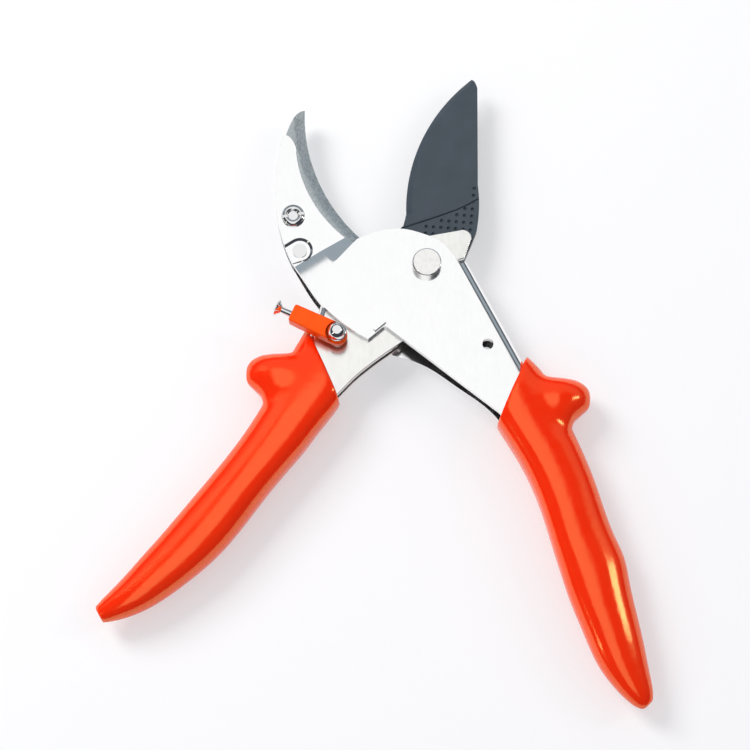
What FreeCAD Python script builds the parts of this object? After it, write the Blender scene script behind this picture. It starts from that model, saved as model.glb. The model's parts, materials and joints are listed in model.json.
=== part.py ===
import FreeCAD, Part
import math
import os

from FreeCAD import Vector

# Anvil pruner, lying open on its back, in millimetres.
# X and Y lie in the plane of the sheet metal, Z is the pivot's axis, and the
# origin is on that axis, in the plane that the pruner rests on.

# Driving sizes
HEAD_REACH = 66.0
GRIP_LENGTH = 112.0
GRIP_WIDTH = 20.0
CLOSING_ANGLE = 48.3
RUNNING_GAP = 0.15
PRESS_GAP = 0.05
OVERRUN = 200.0

# Sheet metal and blade
FRAME_SHEET = 2.0
LEVER_SHEET = 1.75
BLADE_THICKNESS = 3.0
BEND_RADIUS = 1.2
LEVER_BEND_RADIUS = 0.85
ANVIL_WEB = 4.0

# Pivot
PIVOT_RADIUS = 3.0
PIVOT_HEAD_RADIUS = 4.5
PIVOT_HEAD_HEIGHT = 3.0
PIVOT_CHAMFER = 0.35
BUSH_WALL = 0.8
NUT_ACROSS_FLATS = 9.0
NUT_HEIGHT = 2.0
WASHER_RADIUS = 5.6
WASHER_THICKNESS = 0.6

# Heights of the stack, from the resting plane up and out from the blade's middle
LEVER_GAP = BLADE_THICKNESS / 2 + PRESS_GAP
LEVER_TOP = LEVER_GAP + LEVER_SHEET
FRAME_GAP = LEVER_TOP + RUNNING_GAP
FRAME_TOP = FRAME_GAP + FRAME_SHEET
LEAF_GAP = ANVIL_WEB / 2
LEAF_TOP = LEAF_GAP + FRAME_SHEET
MIDDLE = NUT_HEIGHT + WASHER_THICKNESS + FRAME_TOP
GRIP_DEPTH = 2 * MIDDLE

# Frame: web on the outer side, joggle towards the jaw leaves
WEB_DISTANCE = 12.1
WEB_ANGLE = -62.8
WEB_END = 4.5
FRAME_KNEE_RADIUS = 150.0
JOGGLE_ANGLE = 124.0
HANGING_HOLE_RADIUS = 1.7
# Each joggle station is (across, start of the slope, end of the slope)
JOGGLE_STATION_SHARES = [(-3.0, 0.311, 0.328), (0.12, 0.311, 0.328), (0.37, 0.250, 0.343),
                         (0.70, 0.247, 0.350)]
HUB_SHARE = [(0.111, 0.071), (0.064, 0.119), (-0.008, 0.153), (-0.102, 0.179),
             (-0.173, 0.180), (-0.245, 0.165), (-0.330, 0.129)]
LEAF_ROOT_SHARE = (-0.353, 0.117)
LEAF_ARC_CENTRE_SHARE = (0.041, 0.656)
LEAF_ARC_RADIUS_SHARE = 0.6697
LEAF_END_SHARE = (-0.624, 0.576)
LEAF_TIP_SHARE = [(-0.636, 0.630), (-0.671, 0.667), (-0.698, 0.627)]
BACK_SHARE = [(-0.712, 0.553), (-0.723, 0.470), (-0.724, 0.386), (-0.717, 0.282),
              (-0.698, 0.179), (-0.676, 0.106), (-0.642, 0.024)]
RIM_SHARE = [(-0.598, -0.047), (-0.552, -0.121), (-0.494, -0.200), (-0.432, -0.259),
             (-0.362, -0.315), (-0.276, -0.367)]
LOWER_EDGE_SHARE = [(-0.126, -0.417), (-0.033, -0.449), (0.058, -0.502), (0.149, -0.569),
                    (0.246, -0.638)]
NOTCH_INNER_SHARE = (-0.198, -0.301)
HANGING_HOLE_SHARE = (0.283, -0.392)

# Bead along the frame's step, which the latch bears on
STOP_HEIGHT = 0.9
STOP_THICKNESS = 0.8
STOP_LENGTH = 4.4
STOP_SETBACK = 0.48
LOCK_GAP = 0.15

# Blade
TAIL_CLEARANCE = 0.65
BLADE_TAIL_ANGLE = -140.0
EDGE_CENTRE_SHARE = (0.776, 0.306)
EDGE_RADIUS_SHARE = 0.8712
SPINE_SHARE = [(0.255, 0.930), (0.250, 0.426), (0.252, 0.270), (0.241, 0.191), (0.217, 0.130)]
TIP_SHARE = (0.235, 0.977)
SHOULDER_SHARE = (0.180, 0.0445)
HEEL_SHARE = [(-0.094, 0.277), (-0.109, 0.217), (-0.209, 0.126), (-0.220, -0.015)]
GRIND_LINE_SHARE = [(-0.109, 0.208), (0.244, 0.350)]
GRIND_SLOPE = 0.012
EDGE_BEVEL = 2.0
EDGE_LAND = 0.15
EDGE_OVERRUN = 0.1
BLADE_RIVET_RADIUS = 1.5
BLADE_RIVET_SHARE = (-0.152, 0.038)
TAIL_RIVET_SHARE = (0.241, -0.730)

# Anvil
LAND_GAP = 0.15
LAND_WIDTH = 3.8
ANVIL_BEVEL = 3.5
ANVIL_NOSE_SHARE = [(-0.604, 0.800), (-0.638, 0.758), (-0.664, 0.700), (-0.675, 0.664)]
ANVIL_INSIDE_SHARE = [(-0.680, 0.560), (-0.560, 0.200), (-0.360, 0.090), (-0.260, 0.110)]
ANVIL_HEEL_ANGLE = 228.5
ANVIL_TIP_ANGLE = 178.3
ANVIL_BEVEL_ANGLE = 233.5
ANVIL_ROOT_ANGLES = [188.0, 197.0, 206.0, 214.0, 221.0]
ANVIL_WEB_SHARE = [(-0.350, 0.125), (-0.480, 0.105), (-0.640, 0.055), (-0.672, 0.140),
                   (-0.700, 0.300), (-0.702, 0.450), (-0.680, 0.620)]
ANVIL_SCREW_SHARE = (-0.635, 0.252)
ANVIL_SCREW_RADIUS = 1.9
ANVIL_SCREW_HEAD_RADIUS = 3.6
ANVIL_SCREW_HEAD_HEIGHT = 1.5
SCREW_RIM_HEIGHT = 0.6
SCREW_CREST_RADIUS = 2.65
SCREW_LIP_DROP = 0.15
SCREW_RECESS_RADIUS = 1.9
SCREW_RECESS_FLOOR_RADIUS = 1.5
SCREW_RECESS_DEPTH = 0.9
SCREW_SLOT_WIDTH = 0.9
SCREW_SLOT_DEPTH = 0.5
SCREW_SLOT_ANGLE = 10.0
SCREW_NUT_ACROSS_FLATS = 6.5
SCREW_NUT_HEIGHT = 1.8
ANVIL_RIVET_SHARE = (-0.602, 0.080)
ANVIL_RIVET_RADIUS = 1.6
ANVIL_RIVET_HEAD_RADIUS = 2.3
ANVIL_RIVET_HEAD_HEIGHT = 0.35
RIVET_RECESS_RADIUS = 4.1
RIVET_RECESS_DEPTH = 0.6
RIVET_RECESS_SLOPE = 0.8
RIVET_RECESS_ANGLE = 213.0
RIVET_RECESS_LOWER_SHARE = 0.4

# Lever
LEVER_KNEE_RADIUS = 60.0
LEVER_TAIL_ANGLE = -80.0
LEVER_CORNER_SHARE = [(0.014, 0.159), (0.159, 0.186)]
LEVER_NOSE_SHARE = [(0.195, 0.182), (0.214, 0.158), (0.211, 0.135)]
LEVER_WEB_START_SHARE = (-0.505, -0.191)
LEVER_BACK_SHARE = [(-0.303, 0.038), (-0.136, 0.141)]
LEVER_NECK_SHARE = [(-0.111, -0.368), (-0.195, -0.427), (-0.280, -0.492), (-0.348, -0.552)]

# Return spring, coiled round its post inside the lever
POST_SHARE = (-0.174, -0.174)
POST_RADIUS = 1.9
WIRE_RADIUS = 0.6
COIL_RADIUS = 3.0
SPRING_END_GAP = 0.45
SPRING_SHORT_LEG = 19.0
SHORT_LEG_ANGLE = 202.0
LONG_LEG_ANGLE = 3.0

# Latch, at rest beside the lever's grip
LATCH_PIVOT_SHARE = (-0.421, -0.358)
LATCH_ANGLE = 155.6
LATCH_CLEARANCE = 0.4
LATCH_WIDTH = 6.2
LATCH_END_TAPER = 0.6
LATCH_HEIGHT = 5.0
LATCH_LENGTH = 15.5
LATCH_EDGE = 0.7
TONGUE_HEIGHT = 2.4
LATCH_SCOOP_RADIUS = 3.5
STUD_RADIUS = 1.0
STUD_HEAD_RADIUS = 2.65
STUD_HEAD_LENGTH = 2.0
STUD_RIM = 0.5
STUD_DEPTH = 6.0
BALL_RADIUS = 2.9
BALL_SEAT_SHARE = 0.92
BALL_FLAT_SHARE = 0.48
LATCH_RIVET_RADIUS = 1.6
LATCH_RIVET_GAP = 0.05
LATCH_RIVET_FOOT_RADIUS = 2.3
LATCH_RIVET_FOOT_HEIGHT = 0.6
SPACER_RADIUS = 2.3
LATCH_WASHER_THICKNESS = 0.3

# Grips: stations along the grip as shares of its length and width
FRAME_GRIP_ANCHOR_SHARE = (0.364, -0.485)
FRAME_GRIP_ANGLE = -64.2
LEVER_GRIP_ANCHOR_SHARE = (-0.480, -0.448)
LEVER_GRIP_ANGLE = -119.0
SECTION_POINTS = 20
# Each section is (crest's shift inwards, power of the inner side, power of the outer side)
MOUTH_SECTION_SHARES = (0.25, 3.2, 2.3)
END_SECTION_SHARES = (0.08, 1.9, 1.9)
# Each station is (along, bend, half width, half depth)
FRAME_GRIP_STATION_SHARES = [
    (-0.070, -0.004, 0.90, 0.93), (0.040, -0.005, 0.985, 0.97), (0.153, -0.001, 1.02, 0.99),
    (0.240, 0.001, 0.965, 0.99), (0.376, -0.005, 0.93, 0.97), (0.545, -0.030, 0.956, 0.94),
    (0.605, -0.037, 0.99, 0.92), (0.660, -0.049, 0.955, 0.91), (0.769, -0.068, 0.847, 0.86),
    (0.860, -0.081, 0.73, 0.77), (0.920, -0.083, 0.57, 0.64), (0.965, -0.081, 0.41, 0.48),
    (0.984, -0.078, 0.31, 0.36), (0.996, -0.074, 0.18, 0.22)]
LEVER_GRIP_STATION_SHARES = [
    (-0.080, 0.004, 0.96, 0.70), (0.000, 0.002, 0.99, 0.77), (0.089, -0.004, 1.05, 0.91),
    (0.175, 0.001, 0.975, 0.98), (0.260, 0.007, 0.915, 0.99), (0.370, 0.022, 0.86, 0.98),
    (0.461, 0.035, 0.87, 0.96), (0.651, 0.071, 0.835, 0.88), (0.742, 0.099, 0.735, 0.80),
    (0.827, 0.131, 0.58, 0.68), (0.880, 0.160, 0.42, 0.50), (0.914, 0.181, 0.27, 0.30)]
# Mouth lines and channel points are (along, across) shares
FRAME_MOUTH_SHARES = [(0.136, -0.505), (0.002, 0.370)]
LEVER_MOUTH_SHARES = [(0.082, -0.495), (-0.020, 0.240)]
FRAME_PEAK_SHARE = -0.018
LEVER_PEAK_SHARE = -0.064
FRAME_TANG_WEB_SHARES = [(0.166, 0.290), (0.520, 0.170)]
FRAME_TANG_OPEN_SHARES = [(0.116, -0.435), (0.196, -0.325), (0.520, -0.405)]
LEVER_TANG_WEB_SHARES = [(-0.005, 0.315), (0.420, 0.430)]
LEVER_TANG_OPEN_SHARES = [(0.073, -0.465), (0.125, -0.350), (0.420, -0.180)]
# Each thumb stop is (where it starts along the grip, its depth)
FRAME_BUMP_SHARES = (0.0714, 0.90)
LEVER_BUMP_SHARES = (0.0268, 0.84)
BUMP_POWER = 2.6
# Each bump station is (across, start, end, half depth)
BUMP_STATION_SHARES = [
    (0.200, 0.010, 0.930, 0.88), (0.300, 0.010, 0.930, 0.96), (0.400, 0.015, 0.920, 1.00),
    (0.515, 0.020, 0.900, 1.00), (0.560, 0.050, 0.855, 0.99), (0.645, 0.100, 0.820, 0.96),
    (0.730, 0.150, 0.795, 0.91), (0.803, 0.200, 0.775, 0.83), (0.870, 0.250, 0.752, 0.72),
    (0.925, 0.310, 0.695, 0.58), (0.965, 0.370, 0.625, 0.43), (0.990, 0.425, 0.570, 0.27),
    (1.004, 0.495, 0.515, 0.08)]


def head(share):
    """A point of the head, from its shares of the head's reach."""
    return Vector(share[0] * HEAD_REACH, share[1] * HEAD_REACH, 0)


def heads(shares):
    return [head(share) for share in shares]


def direction(angle):
    return Vector(math.cos(math.radians(angle)), math.sin(math.radians(angle)), 0)


def at_height(point, height):
    return Vector(point.x, point.y, height)


def spin(point, angle):
    """A point turned about the pivot."""
    along = direction(angle)
    return Vector(point.x * along.x - point.y * along.y, point.x * along.y + point.y * along.x, 0)


def chain(*stretches):
    """Edges through stretches of points: two points make a line, more make a curve."""
    edges = []
    for points in stretches:
        if len(points) == 2:
            edges.append(Part.LineSegment(points[0], points[1]).toShape())
        else:
            curve = Part.BSplineCurve()
            curve.interpolate(points)
            edges.append(curve.toShape())
    return edges


def prism(edges, bottom, top):
    """A solid over a closed outline, between two heights from the middle plane."""
    face = Part.Face(Part.Wire(Part.__sortEdges__(edges)))
    face.translate(Vector(0, 0, MIDDLE + bottom))
    return face.extrude(Vector(0, 0, top - bottom))


def plate(points, bottom, top):
    closed = points + [points[0]]
    return prism(chain(*[closed[i:i + 2] for i in range(len(points))]), bottom, top)


def rod(centre, radius, bottom, top):
    return Part.makeCylinder(radius, top - bottom, at_height(centre, MIDDLE + bottom))


def hexagon(centre, across_flats, bottom, top):
    corner = across_flats / math.sqrt(3)
    return plate([centre + direction(60 * i) * corner for i in range(6)], bottom, top)


def ring(inner, outer, centre, bottom, top):
    return rod(centre, outer, bottom, top).cut(rod(centre, inner, bottom, top))


def meet(start_a, along_a, start_b, along_b):
    """Where two lines in the plane cross."""
    cross = along_a.x * along_b.y - along_a.y * along_b.x
    gap = start_b - start_a
    return start_a + along_a * ((gap.x * along_b.y - gap.y * along_b.x) / cross)


def knee_path(points, offset, radius, lead, tail):
    """A bent line moved sideways by offset, with its corner rounded off.

    lead and tail lengthen its ends. A positive offset moves it to the left.
    """
    first = (points[1] - points[0]).normalize()
    second = (points[2] - points[1]).normalize()
    left_first = Vector(-first.y, first.x, 0)
    left_second = Vector(-second.y, second.x, 0)
    start = points[0] + left_first * offset
    end = points[2] + left_second * offset
    corner = meet(start, first, end, second)
    turn = first.x * second.y - first.y * second.x
    bend = radius + offset if turn < 0 else radius - offset
    setback = bend * math.tan(abs(math.asin(turn)) / 2)
    enter = corner - first * setback
    leave = corner + second * setback
    middle = (enter + leave) * 0.5
    sagitta = bend * (1 - math.cos(math.asin(abs(turn)) / 2))
    crown = middle + (corner - middle).normalize() * sagitta
    return [Part.LineSegment(start - first * lead, enter).toShape(),
            Part.Arc(enter, crown, leave).toShape(),
            Part.LineSegment(leave, end + second * tail).toShape()]


def path_ends(edges):
    return edges[0].Vertexes[0].Point, edges[-1].Vertexes[-1].Point


def round_side(solid, edges, radius):
    """Round the long edges of a solid that lie above and below a path."""
    picked = []
    for path_edge in edges:
        middle = path_edge.valueAt((path_edge.FirstParameter + path_edge.LastParameter) / 2)
        for edge in solid.Edges:
            if abs(edge.Length - path_edge.Length) < RUNNING_GAP:
                point = edge.valueAt((edge.FirstParameter + edge.LastParameter) / 2)
                if at_height(point, 0).distanceToPoint(at_height(middle, 0)) < RUNNING_GAP:
                    picked.append(edge)
    return solid.makeFillet(radius, picked)


def rounded_section(middle, side, widths, depth, powers):
    """A closed round outline: widths and powers are those against side, then along it."""
    points = []
    for step in range(SECTION_POINTS):
        turn = 2 * math.pi * step / SECTION_POINTS
        half = 1 if math.cos(turn) > 0 else 0
        reach = (abs(math.cos(turn)) ** powers[half]
                 + abs(math.sin(turn)) ** powers[half]) ** (-1 / powers[half])
        points.append(middle + side * (widths[half] * reach * math.cos(turn))
                      + Vector(0, 0, depth * reach * math.sin(turn)))
    curve = Part.BSplineCurve()
    curve.interpolate(points, True)
    return Part.Wire([curve.toShape()])


class Grip:
    """The local frame of a grip: along its axis, and across it towards the outside."""

    def __init__(self, anchor_share, angle, outward, stations):
        self.anchor = head(anchor_share)
        self.along = direction(angle)
        self.across = direction(angle + 90 * outward)
        self.outward = outward
        self.stations = stations

    def point(self, along, across):
        return self.anchor + self.along * along + self.across * across

    def place(self, share):
        return self.point(share[0] * GRIP_LENGTH, share[1] * GRIP_WIDTH)

    def centre(self, index):
        station = self.stations[index]
        return self.point(station[0] * GRIP_LENGTH, station[1] * GRIP_LENGTH)

    def section(self, index):
        """The rounded section of the grip at one station, square to its path."""
        last = len(self.stations) - 1
        before = self.centre(max(index - 1, 0))
        after = self.centre(min(index + 1, last))
        heading = (after - before).normalize()
        side = Vector(-heading.y, heading.x, 0) * self.outward
        width = self.stations[index][2] * GRIP_WIDTH / 2
        depth = self.stations[index][3] * GRIP_DEPTH / 2
        shift, inner, outer = [at_mouth + (at_end - at_mouth) * index / last for at_mouth, at_end
                                in zip(MOUTH_SECTION_SHARES, END_SECTION_SHARES)]
        crest = at_height(self.centre(index), MIDDLE) - side * (width * shift)
        widths = (width * (1 - shift), width * (1 + shift))
        return rounded_section(crest, side, widths, depth, (inner, outer))

    def body(self):
        sections = [self.section(i) for i in range(len(self.stations))]
        return Part.makeLoft(sections, True, False)

    def bump(self, shares):
        """The thumb stop: a horn with a level top that flares into the grip."""
        sections = []
        for across, start, end, half_depth in BUMP_STATION_SHARES:
            middle = self.point(shares[0] * GRIP_LENGTH + (start + end) / 2 * GRIP_WIDTH,
                                across * GRIP_WIDTH)
            half = (end - start) / 2 * GRIP_WIDTH
            depth = half_depth * shares[1] * GRIP_DEPTH / 2
            sections.append(rounded_section(at_height(middle, MIDDLE), self.along, (half, half),
                                            depth, (BUMP_POWER, BUMP_POWER)))
        return Part.makeLoft(sections, True, False)

    def mouth(self, shares, peak_share):
        """Everything on the head's side of the grip's slanting mouth and its peak."""
        low = self.place(shares[0])
        high = self.place(shares[1])
        slant = (high - low).normalize()
        peak_along = peak_share * GRIP_LENGTH
        peak = meet(low, slant, self.point(peak_along, 0), self.across)
        corners = [low - slant * OVERRUN, peak, peak + self.across * OVERRUN]
        corners += [corners[2] - self.along * OVERRUN, corners[0] - self.along * OVERRUN]
        return plate(corners, -GRIP_DEPTH, GRIP_DEPTH)


FRAME_SIDE = Grip(FRAME_GRIP_ANCHOR_SHARE, FRAME_GRIP_ANGLE, 1, FRAME_GRIP_STATION_SHARES)
LEVER_SIDE = Grip(LEVER_GRIP_ANCHOR_SHARE, LEVER_GRIP_ANGLE, -1, LEVER_GRIP_STATION_SHARES)


def web_point(distance, along):
    """A point by its distance from the pivot square to the web, and along the web."""
    run = direction(WEB_ANGLE)
    return Vector(-run.y, run.x, 0) * distance + run * along


def frame_web():
    points = [web_point(WEB_DISTANCE, WEB_END)]
    points += [FRAME_SIDE.place(share) for share in FRAME_TANG_WEB_SHARES]
    return points


def frame_envelope():
    """The frame's outside, as if it were a full block."""
    web = knee_path(frame_web(), 0, FRAME_KNEE_RADIUS, 0, 0)
    start, end = path_ends(web)
    hub_start = web_point(WEB_DISTANCE - FRAME_SHEET - BEND_RADIUS / 2, WEB_END)
    root = head(LEAF_ROOT_SHARE)
    leaf_end = head(LEAF_END_SHARE)
    centre = head(LEAF_ARC_CENTRE_SHARE)
    bulge = ((root + leaf_end) * 0.5 - centre).normalize()
    leaf_arc = Part.Arc(root, centre + bulge * (LEAF_ARC_RADIUS_SHARE * HEAD_REACH), leaf_end)
    hub = [hub_start] + heads(HUB_SHARE)
    tip = [leaf_end] + heads(LEAF_TIP_SHARE)
    back = [tip[-1]] + heads(BACK_SHARE)
    rim = [back[-1]] + heads(RIM_SHARE)
    tang = [FRAME_SIDE.place(share) for share in FRAME_TANG_OPEN_SHARES]
    edges = chain([start, hub_start], hub, [hub[-1], root], tip, back, rim,
                  [rim[-1], tang[0]], tang[0:2], tang[1:3], [tang[2], end])
    block = prism(edges + [leaf_arc.toShape()] + web, -FRAME_TOP, FRAME_TOP)
    return round_side(block, web, BEND_RADIUS + FRAME_SHEET)


def joggle(near, far):
    """A block that is near from the middle plane at the hub and far at the jaw leaves."""
    out = direction(JOGGLE_ANGLE)
    side = Vector(-out.y, out.x, 0)
    sections = []
    for across, start, end in JOGGLE_STATION_SHARES:
        profile = [(-OVERRUN, near), (start * HEAD_REACH, near), (end * HEAD_REACH, far),
                   (OVERRUN, far)]
        profile += [(x, -z) for x, z in reversed(profile)]
        place = side * (across * HEAD_REACH)
        points = [at_height(out * x + place, MIDDLE + z) for x, z in profile]
        sections.append(Part.makePolygon(points + [points[0]]))
    return Part.makeLoft(sections, True, True)


def frame_cavity():
    web = knee_path(frame_web(), -FRAME_SHEET, FRAME_KNEE_RADIUS, OVERRUN, OVERRUN)
    start, end = path_ends(web)
    away = direction(WEB_ANGLE - 90) * OVERRUN
    edges = web + chain([start, start + away], [start + away, end + away], [end + away, end])
    block = prism(edges, -FRAME_GAP, FRAME_GAP)
    return round_side(block, web, BEND_RADIUS)


def latch_closed_pivot():
    return spin(head(LATCH_PIVOT_SHARE), CLOSING_ANGLE)


def lock_direction():
    """The way the locked latch points: square to the notch's step."""
    step = (head(NOTCH_INNER_SHARE) - head(RIM_SHARE[-1])).normalize()
    return Vector(-step.y, step.x, 0)


def stop_distance():
    """From the closed latch's pivot to the face of the bead."""
    step = head(RIM_SHARE[-1]) - latch_closed_pivot()
    return step.dot(lock_direction()) + STOP_SETBACK


def latch_reach():
    return stop_distance() - LOCK_GAP


def latch_stop():
    """A low bead behind the step, which the latch's stud bears on when locked."""
    push = lock_direction()
    side = Vector(-push.y, push.x, 0)
    face = latch_closed_pivot() + push * stop_distance()
    half = side * (STOP_LENGTH / 2)
    corners = [face - half, face + half]
    corners += [corners[1] + push * STOP_THICKNESS, corners[0] + push * STOP_THICKNESS]
    return plate(corners, FRAME_TOP - FRAME_SHEET / 2, FRAME_TOP + STOP_HEIGHT)


def notch():
    """What the upper cheek's step takes away, up to the grip's mouth."""
    outer = head(RIM_SHARE[-1])
    inner = head(NOTCH_INNER_SHARE)
    mouth = FRAME_SIDE.place(FRAME_TANG_OPEN_SHARES[0])
    far = outer + (outer - inner)
    return plate([inner, far, mouth + (far - inner), mouth], 0, OVERRUN)


def lower_trim():
    """What the lower cheek's curved edge takes away."""
    outer = head(RIM_SHARE[-1])
    mouth = FRAME_SIDE.place(FRAME_TANG_OPEN_SHARES[0])
    curve = [outer] + heads(LOWER_EDGE_SHARE) + [mouth]
    away = FRAME_SIDE.across * -HEAD_REACH
    edges = chain(curve, [outer, outer + away], [outer + away, mouth + away],
                  [mouth + away, mouth])
    return prism(edges, -OVERRUN, 0)


def recess_outline(radius, height):
    """The rivet recess at one height: a half round, open to the frame's outer edge."""
    centre = at_height(head(ANVIL_RIVET_SHARE), MIDDLE + height)
    out = direction(RIVET_RECESS_ANGLE)
    side = Vector(out.y, -out.x, 0) * radius
    far = centre + out * (2 * RIVET_RECESS_RADIUS)
    back = Part.Arc(centre + side, centre - out * radius, centre - side).toShape()
    corners = [centre + side, far + side, far - side * RIVET_RECESS_LOWER_SHARE, centre - side]
    return Part.Wire(Part.__sortEdges__([back] + chain(corners[0:2], corners[1:3], corners[2:4])))


def rivet_recess():
    """The pressed hollow round the anvil rivet, with a sloping wall."""
    floor = recess_outline(RIVET_RECESS_RADIUS - RIVET_RECESS_SLOPE,
                           LEAF_TOP - RIVET_RECESS_DEPTH)
    mouth = recess_outline(RIVET_RECESS_RADIUS, LEAF_TOP)
    bowl = Part.makeLoft([floor, mouth], True, True)
    return bowl.fuse(Part.Face(mouth).extrude(Vector(0, 0, FRAME_TOP)))


def flipped(solid):
    """The solid mirrored in the middle plane."""
    return solid.mirror(Vector(0, 0, MIDDLE), Vector(0, 0, 1))


def make_frame():
    shell = frame_envelope().common(joggle(FRAME_TOP, LEAF_TOP))
    shell = shell.cut(frame_cavity().common(joggle(FRAME_GAP, LEAF_GAP)))
    shell = shell.cut(notch()).cut(lower_trim()).fuse(latch_stop())
    recess = rivet_recess()
    shell = shell.cut(recess).cut(flipped(recess))
    holes = [rod(Vector(0, 0, 0), PIVOT_RADIUS, -OVERRUN, OVERRUN),
             rod(head(HANGING_HOLE_SHARE), HANGING_HOLE_RADIUS, -OVERRUN, OVERRUN),
             rod(head(ANVIL_SCREW_SHARE), ANVIL_SCREW_RADIUS, -OVERRUN, OVERRUN),
             rod(head(ANVIL_RIVET_SHARE), ANVIL_RIVET_RADIUS, -OVERRUN, OVERRUN)]
    for hole in holes:
        shell = shell.cut(hole)
    return shell.removeSplitter()


def edge_ring(centre, first, last, profile):
    """An arc about an upright axis, between two points, from (outward, height) of its section."""
    out = (first - centre).normalize()
    end = (last - centre).normalize()
    points = [first + out * x + Vector(0, 0, MIDDLE + z) for x, z in profile]
    face = Part.Face(Part.makePolygon(points + [points[0]]))
    span = math.degrees(math.atan2(out.x * end.y - out.y * end.x, out.dot(end)))
    return face.revolve(centre, Vector(0, 0, 1), span * (1 + EDGE_OVERRUN))


def edge_point(share):
    """The point of the cutting edge that is nearest to a point."""
    centre = head(EDGE_CENTRE_SHARE)
    return centre + (head(share) - centre).normalize() * (EDGE_RADIUS_SHARE * HEAD_REACH)


def tail_radius():
    """The blade's and the lever's round end, which turns clear of the frame's web."""
    return math.hypot(WEB_DISTANCE - FRAME_SHEET, WEB_END) - TAIL_CLEARANCE


def tail_arc(end_angle):
    """The round tail, from under the blade's shoulder to an angle."""
    shoulder = head(SHOULDER_SHARE)
    start_angle = math.degrees(math.atan2(shoulder.y, shoulder.x))
    angles = [start_angle, (start_angle + end_angle) / 2, end_angle]
    return Part.Arc(*[direction(angle) * tail_radius() for angle in angles]).toShape()


def blade_rivet_places():
    return [head(BLADE_RIVET_SHARE), Vector(*TAIL_RIVET_SHARE) * tail_radius()]


def blade_outline():
    centre = head(EDGE_CENTRE_SHARE)
    radius = EDGE_RADIUS_SHARE * HEAD_REACH
    tip = head(TIP_SHARE)
    edge_tip = edge_point(TIP_SHARE)
    heel = heads(HEEL_SHARE)
    edge_heel = edge_point(HEEL_SHARE[0])
    bulge = ((edge_tip + edge_heel) * 0.5 - centre).normalize()
    edge = Part.Arc(edge_tip, centre + bulge * radius, edge_heel).toShape()
    spine = heads(SPINE_SHARE)
    shoulder = head(SHOULDER_SHARE)
    tail = tail_arc(BLADE_TAIL_ANGLE)
    tail_start, tail_end = path_ends([tail])
    return [edge, tail] + chain([edge_tip, tip, spine[0]], spine[0:2], spine[1:4],
                                spine[3:5], [spine[4], shoulder], [shoulder, tail_start],
                                [tail_end, heel[3]], [heel[3], heel[2]], [heel[2], heel[1]],
                                [heel[1], edge_heel])


def grind_wedge():
    """What grinding takes off the upper face, from the grind line to the tip."""
    start, end = heads(GRIND_LINE_SHARE)
    along = (end - start).normalize()
    out = Vector(-along.y, along.x, 0)
    half = BLADE_THICKNESS / 2
    profile = [(0, half), (OVERRUN, half - GRIND_SLOPE * OVERRUN), (OVERRUN, half + EDGE_BEVEL),
               (0, half + EDGE_BEVEL)]
    points = [at_height(start + out * x, MIDDLE + z) for x, z in profile]
    face = Part.Face(Part.makePolygon(points + [points[0]]))
    face.translate(along * -OVERRUN)
    return face.extrude(along * (2 * OVERRUN))


def make_blade():
    half = BLADE_THICKNESS / 2
    blade = prism(blade_outline(), -half, half)
    wedge = grind_wedge()
    blade = blade.cut(wedge).cut(flipped(wedge))
    land = EDGE_LAND / 2
    bevel = edge_ring(head(EDGE_CENTRE_SHARE), edge_point(HEEL_SHARE[0]), edge_point(TIP_SHARE),
                      [(-EDGE_BEVEL, half), (EDGE_BEVEL, 2 * land - half),
                       (EDGE_BEVEL, half)])
    blade = blade.cut(bevel).cut(flipped(bevel))
    blade = blade.cut(rod(Vector(0, 0, 0), PIVOT_RADIUS + PRESS_GAP + BUSH_WALL, -half, half))
    for place in blade_rivet_places():
        blade = blade.cut(rod(place, BLADE_RIVET_RADIUS, -half, half))
    return blade


def anvil_centre():
    return spin(head(EDGE_CENTRE_SHARE), CLOSING_ANGLE)


def anvil_land():
    return EDGE_RADIUS_SHARE * HEAD_REACH + LAND_GAP


def anvil_ends():
    """The land's end points, at the heel and at the tip."""
    ends = [direction(ANVIL_HEEL_ANGLE), direction(ANVIL_TIP_ANGLE)]
    return [anvil_centre() + end * anvil_land() for end in ends]


def anvil_head_outline():
    centre = anvil_centre()
    heel, tip = anvil_ends()
    nose = [tip] + heads(ANVIL_NOSE_SHARE)
    middle = centre + ((heel + tip) * 0.5 - centre).normalize() * anvil_land()
    land = Part.Arc(heel, middle, tip).toShape()
    inside = [nose[-1]] + heads(ANVIL_INSIDE_SHARE) + [heel]
    return [land] + chain(nose, *[inside[i:i + 2] for i in range(len(inside) - 1)])


def make_anvil():
    """A bevelled jaw insert with a web that is held between the jaw leaves."""
    block = prism(anvil_head_outline(), -LEAF_TOP, LEAF_TOP)
    land = LAND_WIDTH / 2
    start = anvil_centre() + direction(ANVIL_BEVEL_ANGLE) * anvil_land()
    bevel = edge_ring(anvil_centre(), start, anvil_ends()[1],
                      [(-ANVIL_BEVEL, 2 * land - LEAF_TOP), (ANVIL_BEVEL, LEAF_TOP),
                       (ANVIL_BEVEL, LEAF_TOP + ANVIL_BEVEL),
                       (-ANVIL_BEVEL, LEAF_TOP + ANVIL_BEVEL)])
    block = block.cut(bevel).cut(flipped(bevel)).cut(frame_envelope())
    leaf_side = heads(ANVIL_WEB_SHARE)
    inner_edge = [anvil_centre() + direction(angle) * (anvil_land() + ANVIL_BEVEL / 2)
                  for angle in ANVIL_ROOT_ANGLES]
    web = plate(leaf_side + inner_edge, -LEAF_GAP, LEAF_GAP)
    anvil = block.fuse(web)
    anvil = anvil.cut(rod(head(ANVIL_SCREW_SHARE), ANVIL_SCREW_RADIUS, -LEAF_TOP, LEAF_TOP))
    anvil = anvil.cut(rod(head(ANVIL_RIVET_SHARE), ANVIL_RIVET_RADIUS, -LEAF_TOP, LEAF_TOP))
    return anvil.removeSplitter()


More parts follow.
